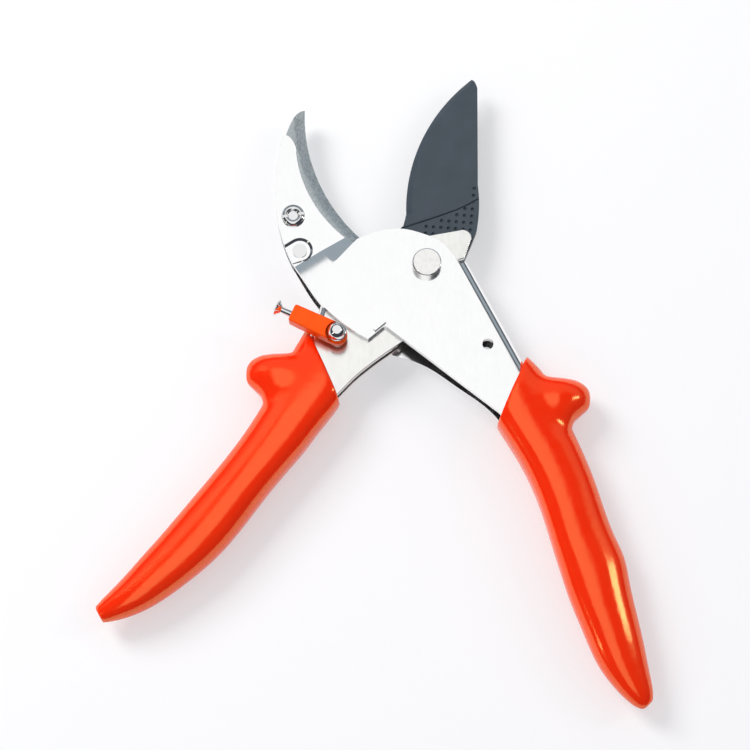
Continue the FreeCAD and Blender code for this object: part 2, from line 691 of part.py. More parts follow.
def make_anvil_screw():
    """A domed ring of a head with a cross slot and a hollow middle, on a plain shank."""
    centre = head(ANVIL_SCREW_SHARE)
    top = LEAF_TOP + ANVIL_SCREW_HEAD_HEIGHT
    floor = top - SCREW_RECESS_DEPTH

    def spot(radius, height):
        return centre + Vector(radius, 0, MIDDLE + height)

    rim = [spot(SCREW_RECESS_RADIUS, top - SCREW_LIP_DROP), spot(SCREW_CREST_RADIUS, top),
           spot(ANVIL_SCREW_HEAD_RADIUS, LEAF_TOP + SCREW_RIM_HEIGHT)]
    dome = Part.Arc(*rim).toShape()
    edges = [dome] + chain([rim[2], spot(ANVIL_SCREW_HEAD_RADIUS, LEAF_TOP)],
                           [spot(ANVIL_SCREW_HEAD_RADIUS, LEAF_TOP), spot(0, LEAF_TOP)],
                           [spot(0, LEAF_TOP), spot(0, floor)],
                           [spot(0, floor), spot(SCREW_RECESS_FLOOR_RADIUS, floor)],
                           [spot(SCREW_RECESS_FLOOR_RADIUS, floor), rim[0]])
    section = Part.Face(Part.Wire(Part.__sortEdges__(edges)))
    screw = section.revolve(spot(0, 0), Vector(0, 0, 1), 360)
    along = direction(SCREW_SLOT_ANGLE) * (2 * ANVIL_SCREW_HEAD_RADIUS)
    half = direction(SCREW_SLOT_ANGLE + 90) * (SCREW_SLOT_WIDTH / 2)
    corners = [centre - along - half, centre + along - half, centre + along + half,
               centre - along + half]
    screw = screw.cut(plate(corners, top - SCREW_SLOT_DEPTH, top))
    shank = rod(centre, ANVIL_SCREW_RADIUS, -LEAF_TOP - SCREW_NUT_HEIGHT, LEAF_TOP)
    return screw.fuse(shank).removeSplitter()


def make_anvil_screw_nut():
    centre = head(ANVIL_SCREW_SHARE)
    bottom = -LEAF_TOP - SCREW_NUT_HEIGHT
    nut = hexagon(centre, SCREW_NUT_ACROSS_FLATS, bottom, -LEAF_TOP)
    return nut.cut(rod(centre, ANVIL_SCREW_RADIUS, bottom, -LEAF_TOP))


def make_anvil_rivet():
    centre = head(ANVIL_RIVET_SHARE)
    floor = LEAF_TOP - RIVET_RECESS_DEPTH
    cap = rod(centre, ANVIL_RIVET_HEAD_RADIUS, floor, floor + ANVIL_RIVET_HEAD_HEIGHT)
    shank = rod(centre, ANVIL_RIVET_RADIUS, -floor, floor)
    return shank.fuse(cap).fuse(flipped(cap)).removeSplitter()


def make_pivot_bolt():
    """A round flat head on a shank that ends flush with the nut."""
    centre = Vector(0, 0, 0)
    top = FRAME_TOP + PIVOT_HEAD_HEIGHT
    cap = rod(centre, PIVOT_HEAD_RADIUS, FRAME_TOP, top)
    rim = [edge for edge in cap.Edges if edge.BoundBox.ZMin > MIDDLE + FRAME_TOP + PIVOT_CHAMFER]
    cap = cap.makeFillet(PIVOT_CHAMFER, rim[:1])
    return cap.fuse(rod(centre, PIVOT_RADIUS, -MIDDLE, FRAME_TOP)).removeSplitter()


def make_pivot_washer():
    return ring(PIVOT_RADIUS, WASHER_RADIUS, Vector(0, 0, 0), -FRAME_TOP - WASHER_THICKNESS,
                -FRAME_TOP)


def make_pivot_nut():
    centre = Vector(0, 0, 0)
    top = -FRAME_TOP - WASHER_THICKNESS
    nut = hexagon(centre, NUT_ACROSS_FLATS, top - NUT_HEIGHT, top)
    return nut.cut(rod(centre, PIVOT_RADIUS, top - NUT_HEIGHT, top))


def make_pivot_bush():
    inner = PIVOT_RADIUS + PRESS_GAP
    return ring(inner, inner + BUSH_WALL, Vector(0, 0, 0), -LEVER_TOP, LEVER_TOP)


def lever_web():
    points = [head(LEVER_WEB_START_SHARE)]
    points += [LEVER_SIDE.place(share) for share in LEVER_TANG_WEB_SHARES]
    return points


def lever_envelope():
    """The lever's outside, as if it were a full block."""
    web = knee_path(lever_web(), 0, LEVER_KNEE_RADIUS, 0, 0)
    start, end = path_ends(web)
    back = [start] + heads(LEVER_BACK_SHARE) + [head(LEVER_CORNER_SHARE[0])]
    corner = heads(LEVER_CORNER_SHARE)
    nose = [corner[1]] + heads(LEVER_NOSE_SHARE)
    shoulder = head(SHOULDER_SHARE)
    tail = tail_arc(LEVER_TAIL_ANGLE)
    tail_start, tail_end = path_ends([tail])
    neck = heads(LEVER_NECK_SHARE)
    tang = [LEVER_SIDE.place(share) for share in LEVER_TANG_OPEN_SHARES]
    edges = web + [tail] + chain(back, corner, nose, [nose[-1], shoulder],
                                 [shoulder, tail_start], [tail_end, neck[0]], neck,
                                 [neck[-1], tang[0]], tang[0:2], tang[1:3], [tang[2], end])
    return round_side(prism(edges, -LEVER_TOP, LEVER_TOP), web, LEVER_BEND_RADIUS + LEVER_SHEET)


def lever_cavity():
    web = knee_path(lever_web(), LEVER_SHEET, LEVER_KNEE_RADIUS, OVERRUN, OVERRUN)
    start, end = path_ends(web)
    away = Vector(OVERRUN * 2, 0, 0)
    edges = web + chain([start, start + away], [start + away, end + away], [end + away, end])
    return round_side(prism(edges, -LEVER_GAP, LEVER_GAP), web, LEVER_BEND_RADIUS)


def make_lever():
    lever = lever_envelope().cut(lever_cavity())
    holes = [rod(Vector(0, 0, 0), PIVOT_RADIUS + PRESS_GAP + BUSH_WALL, -OVERRUN, OVERRUN),
             rod(head(POST_SHARE), POST_RADIUS, -OVERRUN, OVERRUN),
             rod(head(LATCH_PIVOT_SHARE), LATCH_RIVET_RADIUS, 0, OVERRUN)]
    holes += [rod(place, BLADE_RIVET_RADIUS, -OVERRUN, OVERRUN)
              for place in blade_rivet_places()]
    for hole in holes:
        lever = lever.cut(hole)
    return lever


def make_blade_rivets():
    """Two rivets, flush with the lever's outer faces."""
    rivets = [rod(place, BLADE_RIVET_RADIUS, -LEVER_TOP, LEVER_TOP)
              for place in blade_rivet_places()]
    return Part.makeCompound(rivets)


def make_spring_post():
    return rod(head(POST_SHARE), POST_RADIUS, -LEVER_TOP, LEVER_TOP)


def leg(start, angle, length, height):
    begin = at_height(start, MIDDLE + height)
    return Part.makeCylinder(WIRE_RADIUS, length, begin, direction(angle))


def long_leg_length(start):
    """From the coil to just short of the inside of the frame's web."""
    near, far = frame_web()[:2]
    run = (far - near).normalize()
    face = near + Vector(run.y, -run.x, 0) * (FRAME_SHEET + SPRING_END_GAP)
    return start.distanceToPoint(meet(start, direction(LONG_LEG_ANGLE), face, run))


def make_return_spring():
    """A one-turn torsion spring: its short leg in the lever, its long leg at the frame's web."""
    post = head(POST_SHARE)
    start_angle = SHORT_LEG_ANGLE + 90
    end_angle = LONG_LEG_ANGLE - 90
    turns = 2 + (end_angle - start_angle) / 360
    rise = (LEVER_GAP - WIRE_RADIUS - RUNNING_GAP) * 2
    helix = Part.makeHelix(rise / turns, rise, COIL_RADIUS)
    helix.rotate(Vector(0, 0, 0), Vector(0, 0, 1), start_angle)
    helix.translate(at_height(post, MIDDLE - rise / 2))
    start = helix.Edges[0].Vertexes[0].Point
    profile = Part.Wire([Part.Circle(start, direction(start_angle + 90), WIRE_RADIUS).toShape()])
    coil = Part.Wire(helix.Edges).makePipeShell([profile], True, True)
    end_point = post + direction(end_angle) * COIL_RADIUS
    start_point = post + direction(start_angle) * COIL_RADIUS
    spring = coil.fuse(leg(start_point, SHORT_LEG_ANGLE, SPRING_SHORT_LEG, -rise / 2))
    spring = spring.fuse(leg(end_point, LONG_LEG_ANGLE, long_leg_length(end_point), rise / 2))
    return spring


def make_grip(side, bump_shares, mouth_shares, peak_share, channel):
    body = side.body().fuse(side.bump(bump_shares))
    body = body.cut(side.mouth(mouth_shares, peak_share))
    return body.cut(channel)


def latch_place(along, across):
    run = direction(LATCH_ANGLE)
    return head(LATCH_PIVOT_SHARE) + run * along + Vector(-run.y, run.x, 0) * across


def latch_bottom():
    return FRAME_TOP + LATCH_CLEARANCE


def stud_height():
    return latch_bottom() + STUD_HEAD_RADIUS


def make_latch_bar():
    """A bar with softened edges, scooped out round its rivet to a low round tongue."""
    bottom = latch_bottom()
    top = bottom + LATCH_HEIGHT
    half = LATCH_WIDTH / 2
    corners = [latch_place(0, -half), latch_place(LATCH_LENGTH, -half),
               latch_place(LATCH_LENGTH, half - LATCH_END_TAPER), latch_place(0, half)]
    round_end = Part.Arc(corners[3], latch_place(-half, 0), corners[0]).toShape()
    bar = prism(chain(*[corners[i:i + 2] for i in range(3)]) + [round_end], bottom, top)
    end = latch_place(LATCH_LENGTH, 0)
    soft = [edge for edge in bar.Edges if edge.BoundBox.ZMin > MIDDLE + top - LATCH_EDGE]
    soft += [edge for edge in bar.Edges if edge.BoundBox.ZLength > LATCH_HEIGHT / 2
             and at_height(edge.CenterOfMass, 0).distanceToPoint(end) < LATCH_WIDTH]
    bar = bar.makeFillet(LATCH_EDGE, soft)
    bar = bar.cut(rod(head(LATCH_PIVOT_SHARE), LATCH_SCOOP_RADIUS, bottom + TONGUE_HEIGHT, top))
    bar = bar.cut(rod(head(LATCH_PIVOT_SHARE), LATCH_RIVET_RADIUS + LATCH_RIVET_GAP, bottom, top))
    socket = at_height(latch_place(LATCH_LENGTH - STUD_DEPTH, 0), MIDDLE + stud_height())
    return bar.cut(Part.makeCylinder(STUD_RADIUS, 2 * STUD_DEPTH, socket, direction(LATCH_ANGLE)))


def make_latch_stud():
    """A turned stud: a thin neck that flares into a domed head."""
    reach = latch_reach()
    neck_end = reach - STUD_HEAD_LENGTH
    dome = STUD_HEAD_LENGTH - STUD_RIM
    profile = [(LATCH_LENGTH - STUD_DEPTH, 0), (LATCH_LENGTH - STUD_DEPTH, STUD_RADIUS),
               (neck_end, STUD_RADIUS), (neck_end + dome, STUD_HEAD_RADIUS),
               (reach, STUD_HEAD_RADIUS - STUD_RIM), (reach, 0)]
    points = [at_height(latch_place(along, across), MIDDLE + stud_height())
              for along, across in profile]
    face = Part.Face(Part.makePolygon(points + [points[0]]))
    return face.revolve(points[0], direction(LATCH_ANGLE), 360)


def make_latch_rivet():
    """A ball head with a flat, above the tongue, and a shank formed over under the lever."""
    centre = head(LATCH_PIVOT_SHARE)
    seat = latch_bottom() + TONGUE_HEIGHT + LATCH_RIVET_GAP
    middle = seat + BALL_RADIUS * BALL_SEAT_SHARE
    flat = middle + BALL_RADIUS * math.sqrt(1 - BALL_FLAT_SHARE ** 2)
    ball = Part.makeSphere(BALL_RADIUS, at_height(centre, MIDDLE + middle))
    ball = ball.common(rod(centre, 2 * BALL_RADIUS, seat, flat))
    foot = rod(centre, LATCH_RIVET_FOOT_RADIUS, LEVER_GAP - LATCH_RIVET_FOOT_HEIGHT, LEVER_GAP)
    shank = rod(centre, LATCH_RIVET_RADIUS, LEVER_GAP, seat + BALL_RADIUS / 2)
    return ball.fuse(shank).fuse(foot).removeSplitter()


def spacer_top():
    return latch_bottom() - LATCH_RIVET_GAP - LATCH_WASHER_THICKNESS


def make_latch_spacer():
    return ring(LATCH_RIVET_RADIUS, SPACER_RADIUS, head(LATCH_PIVOT_SHARE), LEVER_TOP,
                spacer_top())


def make_latch_washer():
    return ring(LATCH_RIVET_RADIUS, SPACER_RADIUS, head(LATCH_PIVOT_SHARE), spacer_top(),
                spacer_top() + LATCH_WASHER_THICKNESS)


def main():
    os.makedirs("parts", exist_ok=True)
    pieces = {
        "frame": make_frame(),
        "anvil": make_anvil(),
        "anvil_screw": make_anvil_screw(),
        "anvil_screw_nut": make_anvil_screw_nut(),
        "anvil_rivet": make_anvil_rivet(),
        "pivot_bolt": make_pivot_bolt(),
        "pivot_washer": make_pivot_washer(),
        "pivot_nut": make_pivot_nut(),
        "frame_grip": make_grip(FRAME_SIDE, FRAME_BUMP_SHARES, FRAME_MOUTH_SHARES,
                                FRAME_PEAK_SHARE, frame_envelope()),
        "lever": make_lever(),
        "blade": make_blade(),
        "pivot_bush": make_pivot_bush(),
        "blade_rivets": make_blade_rivets(),
        "spring_post": make_spring_post(),
        "return_spring": make_return_spring(),
        "lever_grip": make_grip(LEVER_SIDE, LEVER_BUMP_SHARES, LEVER_MOUTH_SHARES,
                                LEVER_PEAK_SHARE, lever_envelope()),
        "latch_rivet": make_latch_rivet(),
        "latch_spacer": make_latch_spacer(),
        "latch_washer": make_latch_washer(),
        "latch_bar": make_latch_bar(),
        "latch_stud": make_latch_stud(),
    }
    for name, shape in pieces.items():
        print(name, "solids", len(shape.Solids), "valid", shape.isValid(),
              "volume", round(shape.Volume, 1))
        shape.exportStep("parts/" + name + ".step")


main()
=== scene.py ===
import json
import math

import bmesh
import bpy
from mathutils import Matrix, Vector
from mathutils.bvhtree import BVHTree

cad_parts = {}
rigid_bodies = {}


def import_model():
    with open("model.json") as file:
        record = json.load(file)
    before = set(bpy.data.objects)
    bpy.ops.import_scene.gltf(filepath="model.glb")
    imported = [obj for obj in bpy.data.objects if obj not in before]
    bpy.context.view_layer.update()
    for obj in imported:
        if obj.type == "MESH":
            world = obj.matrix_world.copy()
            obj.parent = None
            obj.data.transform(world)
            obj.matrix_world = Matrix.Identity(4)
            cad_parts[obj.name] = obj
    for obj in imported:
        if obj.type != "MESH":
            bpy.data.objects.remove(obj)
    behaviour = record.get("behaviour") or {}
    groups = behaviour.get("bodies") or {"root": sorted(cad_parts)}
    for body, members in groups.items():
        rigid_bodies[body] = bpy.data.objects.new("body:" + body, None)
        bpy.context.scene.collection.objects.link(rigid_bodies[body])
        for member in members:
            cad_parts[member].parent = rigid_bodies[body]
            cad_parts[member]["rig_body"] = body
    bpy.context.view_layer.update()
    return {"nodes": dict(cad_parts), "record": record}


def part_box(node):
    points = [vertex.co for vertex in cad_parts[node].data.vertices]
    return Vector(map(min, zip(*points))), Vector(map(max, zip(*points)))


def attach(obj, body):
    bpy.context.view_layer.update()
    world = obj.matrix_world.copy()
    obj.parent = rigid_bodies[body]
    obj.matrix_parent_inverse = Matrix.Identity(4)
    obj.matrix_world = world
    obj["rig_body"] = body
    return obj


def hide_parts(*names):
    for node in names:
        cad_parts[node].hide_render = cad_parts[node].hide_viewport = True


# Anvil pruner on a white table, under one white card in a dark studio.
# Lengths are in metres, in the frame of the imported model: +Z is the pivot's
# axis and Z = 0 is the table.

MM = 0.001

# Camera
CAMERA_PLACE = Vector((-16.15, -213.42, 632.87)) * MM
CAMERA_TILT = math.radians(16.0)
CAMERA_VIEW = math.radians(20.28)
CAMERA_NEAR = 0.01

# Studio
FLOOR_SIZE = 4.0
FLOOR_DROP = 0.05 * MM
FLOOR_COLOUR = (0.92, 0.92, 0.94)
FLOOR_ROUGHNESS = 0.6
FLOOR_GLOSS = 0.2
FLOOR_GLOW = 0.42
FILL_COLOUR = (0.55, 0.56, 0.59)
# What gloss sees above: a white card between two slopes left and right and two up and down,
# by x and y over z, and past the card a grey wall
CARD_COLOUR = (1.0, 1.0, 1.0)
CARD_ACROSS = [(-0.38, 0.0), (-0.25, 1.0), (0.13, 1.0), (0.24, 0.0)]
CARD_ALONG = [(-0.95, 0.0), (-0.60, 1.0), (0.50, 1.0), (0.66, 0.0)]
CARD_HORIZON = (0.0, 0.05)
WALL_COLOUR = (0.30, 0.35, 0.39)
WALL_ALONG = (0.52, 0.68)
WALL_HEIGHT = (0.20, 0.45)
ROOM_COLOUR = (0.045, 0.050, 0.060)
# Each lamp is (place, width, length, watts, colour, seen in gloss)
LAMPS = [
    ((-0.62, 0.42, 0.75), 0.40, 0.50, 7.7, (1.0, 0.99, 0.97), False),
    ((0.66, 0.12, 0.53), 0.11, 0.28, 0.70, (1.0, 0.97, 0.95), True),
    ((-0.75, -0.42, 0.46), 0.05, 0.22, 0.22, (1.0, 0.95, 0.80), True),
]

# How fully a bump's height is used
BUMP_STRENGTH = 1.0
# How far the zinc plate's roughness strays to either side
GRAIN_SPREAD = 0.03

# Meshes
WELD = 0.001 * MM
FLAT_ANGLE = math.radians(0.5)
SMOOTH_ANGLE = math.radians(32.0)
BEVEL_ANGLE = math.radians(35.0)
BLADE_ANGLE = math.radians(12.0)
PLATE_ROUND = 0.24 * MM
PART_ROUND = 0.14 * MM
ROUND_STEPS = 3
# How strongly a large face turns the normals of the rounding beside it
FACE_WEIGHT = 100
# How far one smoothing step moves a vertex towards its neighbours' middle
SMOOTHING = 0.6
GRIP_VOXEL = 0.45 * MM
GRIP_SMOOTHING = 9
# Where each thumb stop leaves its grip, and how far its crown is smoothed out
STOP_ROOTS = [Vector((41.0, -42.0)) * MM, Vector((-47.0, -34.0)) * MM]
STOP_REACH = (7.0 * MM, 15.0 * MM)
CROWN_RISE = (1.5 * MM, 4.5 * MM)
CROWN_SMOOTHING = 240

# The joggle's upper fold in the frame's faces: its direction, how far along that it lies, how
# far across the frame it runs, and the least bend and rise of the faces that count
FOLD_ANGLE = math.radians(124.0)
FOLD_REACH = (21.0 * MM, 23.6 * MM)
FOLD_ACROSS = (-45.0 * MM, -18.0 * MM)
FOLD_BEND = math.radians(3.0)
FOLD_RISE = 0.85

# Blade: the groove along the grind line, and the rows of pits below it
GROOVE_LINE = [(-8.6, 13.2), (-7.2, 13.7), (-1.9, 15.45), (4.4, 17.7), (9.9, 19.8), (13.3, 21.5),
               (16.9, 23.6)]
GROOVE_WIDTH = 0.50
GROOVE_DEPTH = 0.42
PIT_START = Vector((0.04, 14.11))
PIT_STEP = Vector((2.323, -0.20))
PIT_RISE = Vector((0.23, 2.33))
# Each row is (rises above the first row, first pit, last pit)
PIT_ROWS = [(-1, 0, 1), (0, 0, 6), (1, 2, 6), (2, 4, 6), (3, 5, 6), (4, 6, 6), (5, 6, 6), (6, 6, 6)]
PIT_RADIUS = 0.60
PIT_DETAIL = 2

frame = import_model()
scene = bpy.context.scene
nodes = frame["nodes"]
slots = {part["node"]: part["material_slot"] for part in frame["record"]["subparts"]}


class Finish:
    """A material: one Principled shader, with helpers that feed its sockets."""

    def __init__(self, name, colour, metallic, roughness):
        self.material = bpy.data.materials.new(name)
        self.material.use_nodes = True
        self.tree = self.material.node_tree
        self.shader = self.tree.nodes["Principled BSDF"]
        self.set("Base Color", (*colour, 1.0))
        self.set("Metallic", metallic)
        self.set("Roughness", roughness)
        self.place = self.tree.nodes.new("ShaderNodeTexCoord").outputs["Object"]

    def set(self, socket, value):
        self.shader.inputs[socket].default_value = value

    def feed(self, socket, output):
        self.tree.links.new(output, self.shader.inputs[socket])

    def noise(self, size, detail=3.0, stretch=(1.0, 1.0, 1.0)):
        """Noise whose blotches are about size metres wide, stretched along each axis."""
        mapping = self.tree.nodes.new("ShaderNodeMapping")
        mapping.inputs["Scale"].default_value = [1.0 / (size * part) for part in stretch]
        noise = self.tree.nodes.new("ShaderNodeTexNoise")
        noise.inputs["Scale"].default_value = 1.0
        noise.inputs["Detail"].default_value = detail
        self.tree.links.new(self.place, mapping.inputs["Vector"])
        self.tree.links.new(mapping.outputs["Vector"], noise.inputs["Vector"])
        return noise.outputs["Fac"]

    def ramp(self, value, stops):
        """A colour ramp of (position, colour) stops, read at value."""
        return make_ramp(self.tree, value, stops)

    def level(self, value, low, high, bottom=0.3, top=0.7):
        """The value spread from low to high as it goes from bottom to top."""
        spread = self.tree.nodes.new("ShaderNodeMapRange")
        spread.inputs["From Min"].default_value = bottom
        spread.inputs["From Max"].default_value = top
        spread.inputs["To Min"].default_value = low
        spread.inputs["To Max"].default_value = high
        self.tree.links.new(value, spread.inputs["Value"])
        return spread.outputs["Result"]

    def bump(self, value, height):
        bump = self.tree.nodes.new("ShaderNodeBump")
        bump.inputs["Distance"].default_value = height
        bump.inputs["Strength"].default_value = BUMP_STRENGTH
        self.tree.links.new(value, bump.inputs["Height"])
        self.feed("Normal", bump.outputs["Normal"])


def make_ramp(tree, value, stops):
    ramp = tree.nodes.new("ShaderNodeValToRGB")
    elements = ramp.color_ramp.elements
    while len(elements) < len(stops):
        elements.new(0.5)
    for element, (position, colour) in zip(elements, stops):
        element.position = position
        element.color = (*colour, 1.0)
    tree.links.new(value, ramp.inputs["Fac"])
    return ramp.outputs["Color"]


def zinc_plate(name, bright, dull, roughness):
    """Bright zinc plate: faint clouds in its tone, and a fine rolled grain in its gloss."""
    finish = Finish(name, bright, metallic=1.0, roughness=roughness)
    cloud = finish.noise(9.0 * MM, detail=4.0)
    finish.feed("Base Color", finish.ramp(cloud, [(0.30, dull), (0.60, bright)]))
    rolled = finish.noise(1.1 * MM, detail=5.0, stretch=(1.0, 3.0, 1.0))
    low, high = roughness - GRAIN_SPREAD, roughness + GRAIN_SPREAD
    finish.feed("Roughness", finish.level(rolled, low=low, high=high))
    finish.bump(finish.noise(0.5 * MM, detail=4.0, stretch=(1.0, 4.0, 1.0)), height=0.003 * MM)
    return finish.material


def anvil_metal():
    """Bare cast alloy, grainy on its bevel."""
    finish = Finish("anvil_metal", (0.84, 0.90, 0.91), metallic=1.0, roughness=0.42)
    grain = finish.noise(0.45 * MM, detail=5.0, stretch=(1.0, 2.0, 1.0))
    finish.feed("Base Color", finish.ramp(grain, [(0.32, (0.62, 0.70, 0.71)),
                                                  (0.66, (0.97, 1.00, 1.00))]))
    finish.feed("Roughness", finish.level(grain, low=0.34, high=0.50))
    finish.bump(finish.noise(0.40 * MM, detail=4.0), height=0.06 * MM)
    return finish.material


def bright_steel():
    finish = Finish("bright_steel", (0.84, 0.84, 0.84), metallic=1.0, roughness=0.12)
    finish.feed("Roughness", finish.level(finish.noise(1.2 * MM, detail=4.0), low=0.08, high=0.16))
    return finish.material


def pivot_steel():
    finish = Finish("pivot_steel", (0.97, 0.96, 0.94), metallic=1.0, roughness=0.22)
    finish.feed("Roughness", finish.level(finish.noise(1.5 * MM, detail=4.0), low=0.17, high=0.26))
    finish.bump(finish.noise(0.6 * MM, detail=3.0), height=0.005 * MM)
    return finish.material


def grip_vinyl():
    """Thick dipped vinyl: deep colour under a clear gloss, with soft unevenness."""
    finish = Finish("grip_vinyl", (1.0, 0.019, 0.001), metallic=0.0, roughness=0.15)
    cloud = finish.noise(14.0 * MM, detail=3.0)
    finish.feed("Base Color", finish.ramp(cloud, [(0.3, (0.97, 0.016, 0.000)),
                                                  (0.7, (1.0, 0.022, 0.001))]))
    finish.set("IOR", 1.7)
    finish.set("Specular IOR Level", 1.0)
    finish.set("Specular Tint", (1.0, 0.80, 0.28, 1.0))
    finish.feed("Roughness", finish.level(finish.noise(3.0 * MM, detail=4.0), low=0.13, high=0.18))
    finish.bump(finish.noise(2.4 * MM, detail=2.0), height=0.035 * MM)
    return finish.material


def blade_coating():
    finish = Finish("blade_coating", (0.048, 0.063, 0.080), metallic=0.0, roughness=0.36)
    cloud = finish.noise(6.0 * MM, detail=4.0)
    finish.feed("Base Color", finish.ramp(cloud, [(0.35, (0.045, 0.060, 0.076)),
                                                  (0.65, (0.052, 0.067, 0.085))]))
    finish.feed("Roughness", finish.level(finish.noise(1.5 * MM, detail=4.0), low=0.32, high=0.42))
    finish.bump(finish.noise(0.30 * MM, detail=3.0), height=0.008 * MM)
    return finish.material


def bush_brass():
    finish = Finish("bush_brass", (0.75, 0.60, 0.30), metallic=1.0, roughness=0.35)
    finish.feed("Roughness", finish.level(finish.noise(1.0 * MM), low=0.30, high=0.42))
    return finish.material


def spring_steel():
    finish = Finish("spring_steel", (0.50, 0.50, 0.52), metallic=1.0, roughness=0.30)
    finish.feed("Roughness", finish.level(finish.noise(0.8 * MM), low=0.26, high=0.40))
    return finish.material


def latch_paint():
    finish = Finish("latch_paint", (1.0, 0.085, 0.003), metallic=0.0, roughness=0.34)
    finish.set("Specular Tint", (1.0, 0.85, 0.40, 1.0))
    cloud = finish.noise(3.0 * MM, detail=3.0)
    finish.feed("Base Color", finish.ramp(cloud, [(0.3, (0.97, 0.075, 0.002)),
                                                  (0.7, (1.0, 0.095, 0.004))]))
    finish.feed("Roughness", finish.level(finish.noise(1.4 * MM, detail=4.0), low=0.30, high=0.38))
    finish.bump(finish.noise(0.8 * MM, detail=3.0), height=0.010 * MM)
    return finish.material


def link(piece):
    scene.collection.objects.link(piece)
    return piece


def weld(mesh):
    """Joins the mesh's split corners, so that its faces share their edges."""
    work = bmesh.new()
    work.from_mesh(mesh)
    bmesh.ops.remove_doubles(work, verts=work.verts, dist=WELD)
    work.to_mesh(mesh)
    work.free()


def merge_flats(mesh):
    """Dissolves the edges inside flat faces."""
    work = bmesh.new()
    work.from_mesh(mesh)
    bmesh.ops.dissolve_limit(work, angle_limit=FLAT_ANGLE, use_dissolve_boundaries=False,
                             verts=work.verts, edges=work.edges)
    work.to_mesh(mesh)
    work.free()


def settle(piece):
    """Turns the piece's modifiers into its mesh."""
    graph = bpy.context.evaluated_depsgraph_get()
    mesh = bpy.data.meshes.new_from_object(piece.evaluated_get(graph))
    piece.modifiers.clear()
    piece.data = mesh


def shade(piece, angle=SMOOTH_ANGLE):
    piece.data.shade_smooth()
    piece.data.set_sharp_from_angle(angle=angle)


def stand_in(node, name):
    """A new piece with the node's mesh, which rides on its body and replaces it."""
    piece = link(bpy.data.objects.new(name, nodes[node].data.copy()))
    weld(piece.data)
    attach(piece, nodes[node]["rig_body"])
    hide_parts(node)
    return piece


def surface_of(mesh):
    """A search tree of the mesh's surface as it is now."""
    work = bmesh.new()
    work.from_mesh(mesh)
    tree = BVHTree.FromBMesh(work)
    work.free()
    return tree


def pull_back(mesh, surface, reach):
    """Puts any vertex that lies farther than reach from the surface back on it."""
    for vertex in mesh.vertices:
        spot, _normal, _face, gap = surface.find_nearest(vertex.co)
        if gap > reach:
            vertex.co = spot


def crease_fold(mesh):
    """Makes the upper fold of the frame's joggle sharp, so that its slope fades only below."""
    toward = Vector((math.cos(FOLD_ANGLE), math.sin(FOLD_ANGLE)))
    work = bmesh.new()
    work.from_mesh(mesh)
    for edge in work.edges:
        middle = (edge.verts[0].co + edge.verts[1].co).xy / 2
        if not FOLD_REACH[0] < middle.dot(toward) < FOLD_REACH[1]:
            continue
        if not FOLD_ACROSS[0] < middle.x < FOLD_ACROSS[1] or len(edge.link_faces) != 2:
            continue
        flat = all(abs(face.normal.z) > FOLD_RISE for face in edge.link_faces)
        if flat and edge.calc_face_angle() > FOLD_BEND:
            edge.smooth = False
    work.to_mesh(mesh)
    work.free()


def soften_edges(piece, width, clamped, creased):
    """Rounds the piece's edges over and lets its flat faces keep flat normals. Clamped
    rounding narrows where edges are close together. A creased piece is the frame's."""
    merge_flats(piece.data)
    surface = surface_of(piece.data)
    bevel = piece.modifiers.new("edges", "BEVEL")
    bevel.width = width
    bevel.segments = ROUND_STEPS
    bevel.limit_method = "ANGLE"
    bevel.angle_limit = BEVEL_ANGLE
    bevel.use_clamp_overlap = clamped
    settle(piece)
    pull_back(piece.data, surface, width)
    shade(piece)
    if creased:
        crease_fold(piece.data)
    weigh = piece.modifiers.new("normals", "WEIGHTED_NORMAL")
    weigh.keep_sharp = True
    weigh.weight = FACE_WEIGHT
    settle(piece)


def make_plate(node, name, width, clamped=False, creased=False):
    """The node with its edges rounded over, as pressed and tumbled parts have."""
    soften_edges(stand_in(node, name), width, clamped, creased)


def add_smoothing(piece, name, steps):
    smooth = piece.modifiers.new(name, "SMOOTH")
    smooth.factor = SMOOTHING
    smooth.iterations = steps
    return smooth


def make_grip(node, name):
    """The dipped grip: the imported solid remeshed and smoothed, so that its thumb
    stop flows out of the handle and its mouth has a soft lip."""
    piece = stand_in(node, name)
    remesh = piece.modifiers.new("remesh", "REMESH")
    remesh.mode = "VOXEL"
    remesh.voxel_size = GRIP_VOXEL
    add_smoothing(piece, "smooth", GRIP_SMOOTHING)
    settle(piece)
    smooth_crown(piece)
    piece.data.shade_smooth()


def smooth_crown(piece):
    """Smooths the top and the back of the grip where its thumb stop leaves it."""
    low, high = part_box("frame_grip")
    middle = (low[2] + high[2]) / 2
    crown = piece.vertex_groups.new(name="crown")
    for vertex in piece.data.vertices:
        away = min((vertex.co.xy - root).length for root in STOP_ROOTS)
        near = (STOP_REACH[1] - away) / (STOP_REACH[1] - STOP_REACH[0])
        rise = (abs(vertex.co.z - middle) - CROWN_RISE[0]) / (CROWN_RISE[1] - CROWN_RISE[0])
        weight = min(max(near, 0.0), 1.0) * min(max(rise, 0.0), 1.0)
        if weight > 0:
            crown.add([vertex.index], weight, "REPLACE")
    add_smoothing(piece, "crown", CROWN_SMOOTHING).vertex_group = "crown"
    settle(piece)
    piece.vertex_groups.clear()


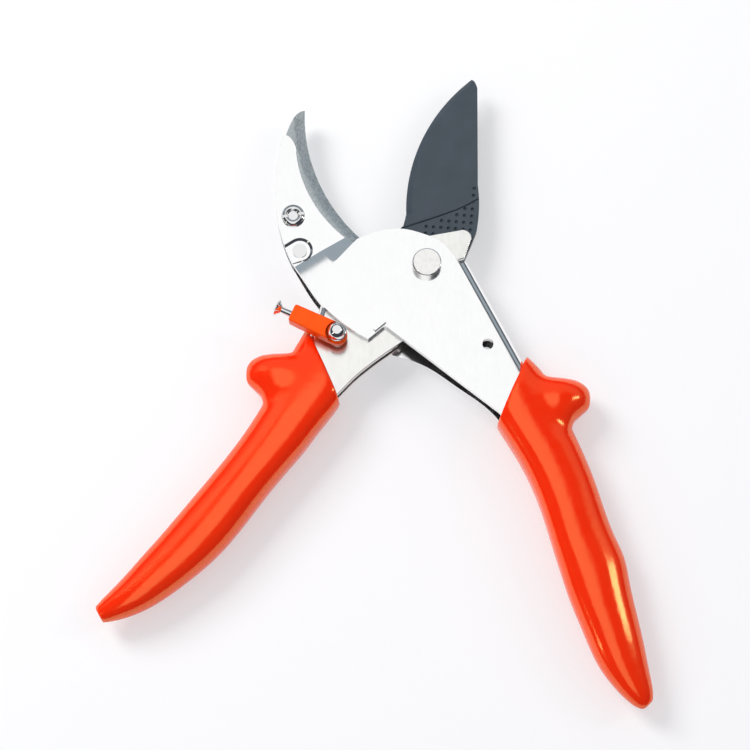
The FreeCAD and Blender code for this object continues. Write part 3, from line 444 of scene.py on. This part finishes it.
def groove_cutter(work, height, side):
    """A V-shaped strip along the groove's line, in one face of the blade."""
    rings = []
    line = [Vector(point) for point in GROOVE_LINE]
    for index, point in enumerate(line):
        before = line[max(index - 1, 0)]
        after = line[min(index + 1, len(line) - 1)]
        run = (after - before).normalized()
        across = Vector((-run.y, run.x)) * GROOVE_WIDTH
        ring = [(point - across, side * GROOVE_DEPTH), (point, -side * GROOVE_DEPTH),
                (point + across, side * GROOVE_DEPTH)]
        rings.append([work.verts.new((spot.x * MM, spot.y * MM, height + rise * MM))
                      for spot, rise in ring])
    for first, second in zip(rings, rings[1:]):
        for index in range(3):
            work.faces.new((first[index], first[(index + 1) % 3], second[(index + 1) % 3],
                            second[index]))
    work.faces.new(rings[0])
    work.faces.new(reversed(rings[-1]))


def pit_cutters(work, height):
    """Balls at the pits' places, sunk half into one face of the blade."""
    for rise, first, last in PIT_ROWS:
        for index in range(first, last + 1):
            spot = (PIT_START + PIT_STEP * index + PIT_RISE * rise) * MM
            ball = bmesh.ops.create_icosphere(work, subdivisions=PIT_DETAIL,
                                             radius=PIT_RADIUS * MM)
            bmesh.ops.translate(work, verts=ball["verts"], vec=(spot.x, spot.y, height))


def make_blade():
    """The blade with its groove and pits on both faces."""
    piece = stand_in("blade", "blade_coated")
    low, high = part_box("blade")
    work = bmesh.new()
    for height, side in ((high[2], 1), (low[2], -1)):
        groove_cutter(work, height, side)
        pit_cutters(work, height)
    bmesh.ops.recalc_face_normals(work, faces=work.faces)
    mesh = bpy.data.meshes.new("cutter")
    work.to_mesh(mesh)
    work.free()
    cutter = link(bpy.data.objects.new("cutter", mesh))
    cut = piece.modifiers.new("cut", "BOOLEAN")
    cut.operation = "DIFFERENCE"
    cut.solver = "EXACT"
    cut.use_self = True
    cut.object = cutter
    settle(piece)
    bpy.data.objects.remove(cutter)
    shade(piece, BLADE_ANGLE)


def make_camera():
    data = bpy.data.cameras.new("camera")
    data.angle = CAMERA_VIEW
    data.clip_start = CAMERA_NEAR
    camera = link(bpy.data.objects.new("camera", data))
    camera.location = CAMERA_PLACE
    camera.rotation_euler = (CAMERA_TILT, 0, 0)
    scene.camera = camera


def make_world():
    """White to the camera, a white card in a dark room to gloss, and an even fill."""
    world = bpy.data.worlds.new("studio")
    scene.world = world
    world.use_nodes = True
    tree = world.node_tree
    path = tree.nodes.new("ShaderNodeLightPath")
    split = tree.nodes.new("ShaderNodeSeparateXYZ")
    tree.links.new(tree.nodes.new("ShaderNodeTexCoord").outputs["Generated"],
                   split.inputs["Vector"])

    def slope(value, low, high):
        step = tree.nodes.new("ShaderNodeMapRange")
        step.interpolation_type = "SMOOTHSTEP"
        step.inputs["From Min"].default_value = low
        step.inputs["From Max"].default_value = high
        tree.links.new(value, step.inputs["Value"])
        return step.outputs["Result"]

    def combine(operation, first, second):
        node = tree.nodes.new("ShaderNodeMath")
        node.operation = operation
        tree.links.new(first, node.inputs[0])
        tree.links.new(second, node.inputs[1])
        return node.outputs["Value"]

    def blend(share, first, second):
        """One colour at share 0, the other at share 1. Either may be a socket."""
        mix = tree.nodes.new("ShaderNodeMix")
        mix.data_type = "RGBA"
        tree.links.new(share, mix.inputs["Factor"])
        for socket, colour in (("A", first), ("B", second)):
            if isinstance(colour, tuple):
                mix.inputs[socket].default_value = (*colour, 1.0)
            else:
                tree.links.new(colour, mix.inputs[socket])
        return mix.outputs["Result"]

    height = split.outputs["Z"]
    across = combine("DIVIDE", split.outputs["X"], height)
    along = combine("DIVIDE", split.outputs["Y"], height)
    card = slope(height, *CARD_HORIZON)
    for value, stops in ((across, CARD_ACROSS), (along, CARD_ALONG)):
        card = combine("MULTIPLY", card, slope(value, stops[0][0], stops[1][0]))
        card = combine("MULTIPLY", card, slope(value, stops[3][0], stops[2][0]))
    wall = combine("MULTIPLY", slope(along, *WALL_ALONG), slope(height, *WALL_HEIGHT))
    gloss = blend(card, blend(wall, ROOM_COLOUR, WALL_COLOUR), CARD_COLOUR)
    lit = blend(path.outputs["Is Glossy Ray"], FILL_COLOUR, gloss)
    seen = blend(path.outputs["Is Camera Ray"], lit, (1.0, 1.0, 1.0))
    tree.links.new(seen, tree.nodes["Background"].inputs["Color"])


def make_lamps():
    for number, (place, width, length, watts, colour, in_gloss) in enumerate(LAMPS):
        data = bpy.data.lights.new(f"lamp_{number}", "AREA")
        data.shape = "RECTANGLE"
        data.size = width
        data.size_y = length
        data.energy = watts
        data.color = colour
        lamp = link(bpy.data.objects.new(f"lamp_{number}", data))
        lamp.location = place
        lamp.visible_glossy = in_gloss
        lamp.rotation_euler = (-Vector(place)).to_track_quat("-Z", "Y").to_euler()


def make_floor():
    """A white table: it glows a little to the camera and to gloss, and keeps the shadows."""
    half = FLOOR_SIZE / 2
    corners = [(-half, -half, -FLOOR_DROP), (half, -half, -FLOOR_DROP),
               (half, half, -FLOOR_DROP), (-half, half, -FLOOR_DROP)]
    mesh = bpy.data.meshes.new("floor")
    mesh.from_pydata(corners, [], [(0, 1, 2, 3)])
    floor = link(bpy.data.objects.new("floor", mesh))
    finish = Finish("table", FLOOR_COLOUR, 0.0, FLOOR_ROUGHNESS)
    finish.set("Specular IOR Level", FLOOR_GLOSS)
    tree = finish.tree
    path = tree.nodes.new("ShaderNodeLightPath")
    seen = tree.nodes.new("ShaderNodeMath")
    seen.operation = "MAXIMUM"
    share = tree.nodes.new("ShaderNodeMath")
    share.operation = "MULTIPLY"
    share.inputs[1].default_value = FLOOR_GLOW
    glow = tree.nodes.new("ShaderNodeEmission")
    blend = tree.nodes.new("ShaderNodeMixShader")
    tree.links.new(path.outputs["Is Camera Ray"], seen.inputs[0])
    tree.links.new(path.outputs["Is Glossy Ray"], seen.inputs[1])
    tree.links.new(seen.outputs["Value"], share.inputs[0])
    tree.links.new(share.outputs["Value"], blend.inputs["Fac"])
    tree.links.new(finish.shader.outputs["BSDF"], blend.inputs[1])
    tree.links.new(glow.outputs["Emission"], blend.inputs[2])
    tree.links.new(blend.outputs["Shader"], tree.nodes["Material Output"].inputs["Surface"])
    mesh.materials.append(finish.material)


FINISHES = {
    "plated_steel": zinc_plate("plated_steel", (0.995, 0.997, 1.0), (0.98, 0.985, 0.99), 0.14),
    "anvil_metal": anvil_metal(), "bright_steel": bright_steel(),
    "pivot_steel": pivot_steel(), "grip_vinyl": grip_vinyl(), "blade_coating": blade_coating(),
    "bush_brass": bush_brass(), "spring_steel": spring_steel(), "latch_paint": latch_paint(),
}
# The lever's copy of the zinc plate: a little darker, creamier and less glossy than the frame's
LEVER_PLATE = zinc_plate("lever_plate", (0.965, 0.96, 0.935), (0.925, 0.92, 0.895), 0.20)

for node, piece in nodes.items():
    piece.data.materials.clear()
    piece.data.materials.append(LEVER_PLATE if node == "lever" else FINISHES[slots[node]])

make_camera()
make_world()
make_lamps()
make_floor()
make_grip("frame_grip", "right_grip_skin")
make_grip("lever_grip", "left_grip_skin")
make_plate("frame", "frame_plate", PLATE_ROUND, clamped=True, creased=True)
make_plate("lever", "lever_plate", PLATE_ROUND)
make_plate("anvil", "anvil_cast", PART_ROUND)
make_plate("latch_bar", "latch_painted", PART_ROUND)
make_blade()

scene.view_settings.view_transform = "Standard"
